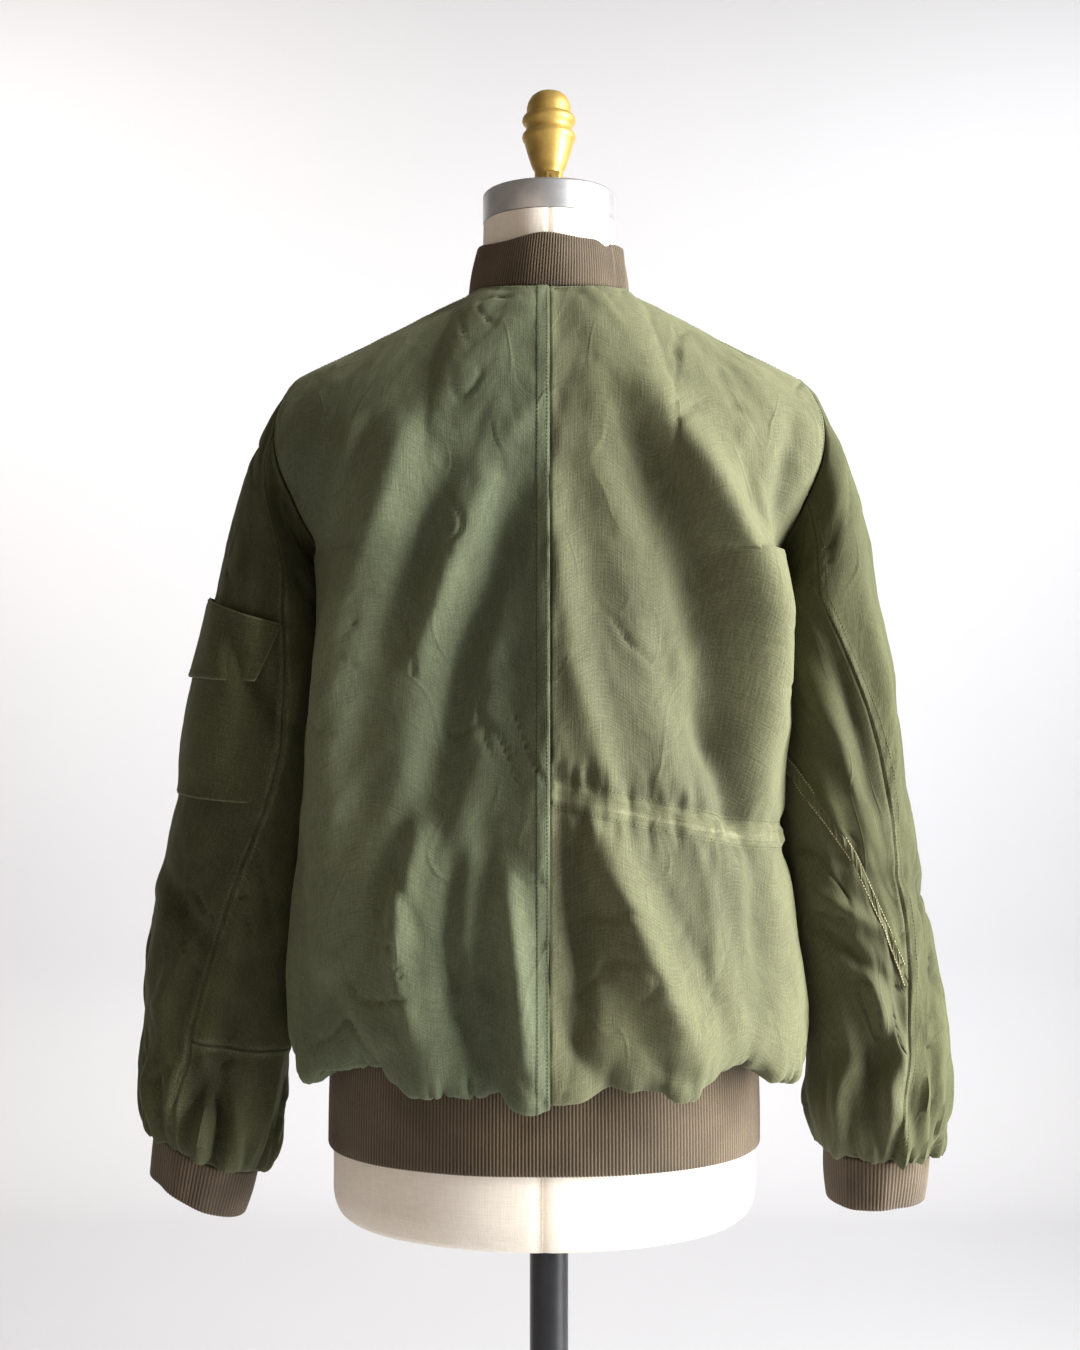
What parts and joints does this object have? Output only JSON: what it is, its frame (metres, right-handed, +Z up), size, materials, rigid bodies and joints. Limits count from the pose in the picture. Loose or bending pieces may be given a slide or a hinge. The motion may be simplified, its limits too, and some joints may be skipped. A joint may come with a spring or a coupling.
{
  "type": "bomber jacket on a limbless dress form",
  "caption": "Waist-length patchwork jacket with knit collar, waistband and cuffs and a sleeve pocket, hollow, on a limbless dress form and stand.",
  "frame": {"origin": "centre of the stand's underside, on the floor", "axes": "+Z up along the pole, the jacket's front faces -Y and the wearer's left sleeve is towards +X"},
  "size_m": [0.6639, 0.33, 1.681],
  "materials": {
    "sateen_dark": "washed cotton sateen",
    "ripstop_light": "washed cotton poplin with a fine grid",
    "sateen_sleeve": "washed cotton sateen",
    "rib_knit": "rib knit",
    "zip_tape": "woven tape with brass teeth",
    "zip_brass": "aged brass",
    "form_linen": "plain cream linen",
    "cap_aluminium": "turned and brushed",
    "finial_gold": "gold paint on a cast knob",
    "stand_black": "satin black"
  },
  "bodies": {
    "jacket": {"body_back_left": "sateen_dark", "body_back_right": "ripstop_light", "body_front_left": "sateen_dark", "body_front_right": "ripstop_light", "centre_back_fell": "sateen_dark", "waist_casing": "ripstop_light", "sleeve_left_outer": "sateen_sleeve", "sleeve_left_under": "sateen_sleeve", "sleeve_left_lower": "sateen_sleeve", "sleeve_right_outer": "sateen_sleeve", "sleeve_right_under": "sateen_sleeve", "sleeve_right_lower": "ripstop_light", "sleeve_right_fell": "ripstop_light", "sleeve_pocket": "sateen_sleeve", "sleeve_pocket_flap": "sateen_sleeve", "collar": "rib_knit", "waistband": "rib_knit", "cuff_left": "rib_knit", "cuff_right": "rib_knit", "zip_tape_left": "zip_tape", "zip_tape_right": "zip_tape", "zip_slider": "zip_brass", "form_torso": "form_linen", "neck_cap": "cap_aluminium", "finial": "finial_gold", "pole": "stand_black", "base": "stand_black"},
    "pull_tab": {"zip_pull_tab": "zip_brass"}
  },
  "joints": [
    {"name": "pull_tab_swing", "type": "hinge", "parent": "jacket", "child": "pull_tab", "pos_m": [0, -0.08982, 1.46821], "axis": [-1, 0, 0], "range_deg": [0, 120]}
  ]
}
